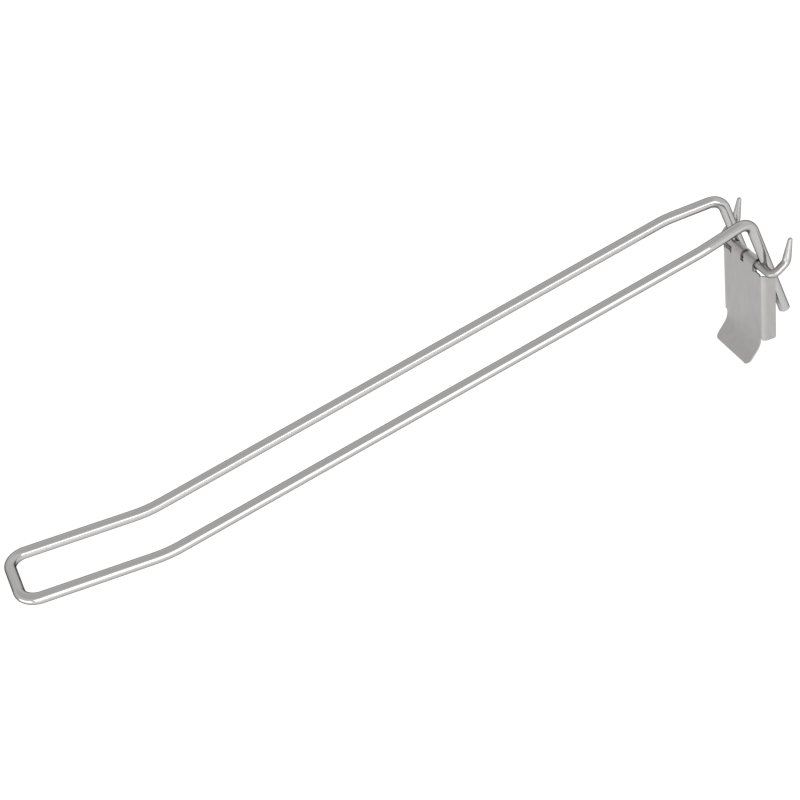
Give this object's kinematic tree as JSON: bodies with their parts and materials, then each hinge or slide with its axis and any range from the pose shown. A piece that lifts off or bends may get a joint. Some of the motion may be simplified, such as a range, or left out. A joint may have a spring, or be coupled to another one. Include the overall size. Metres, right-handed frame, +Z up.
{
  "type": "double display hook",
  "caption": "Wire display hook for a perforated metal panel: a closed loop of two rails with an upturned tip, turned-up prongs behind, and a keeper plate hinged on the prong wire.",
  "frame": {"origin": "on the front face of the panel, midway between the two prongs, at the height where they enter the panel", "axes": "+Y into the wall, +Z up, +X across the hook; the goods hang at -Y"},
  "size_m": [0.0544, 0.425, 0.1478],
  "materials": {
    "loop_wire": "bright plated",
    "prong_wire": "bright plated",
    "keeper_plate": "plated sheet, satin"
  },
  "bodies": {
    "hook": {"loop_wire": "loop_wire", "prong_wire": "prong_wire"},
    "flap": {"keeper_plate": "keeper_plate"}
  },
  "joints": [
    {"name": "keeper_hinge", "type": "hinge", "parent": "hook", "child": "flap", "pos_m": [0, -0.00625, -0.003], "axis": [-1, 0, 0], "range_deg": [-22, 100]}
  ]
}
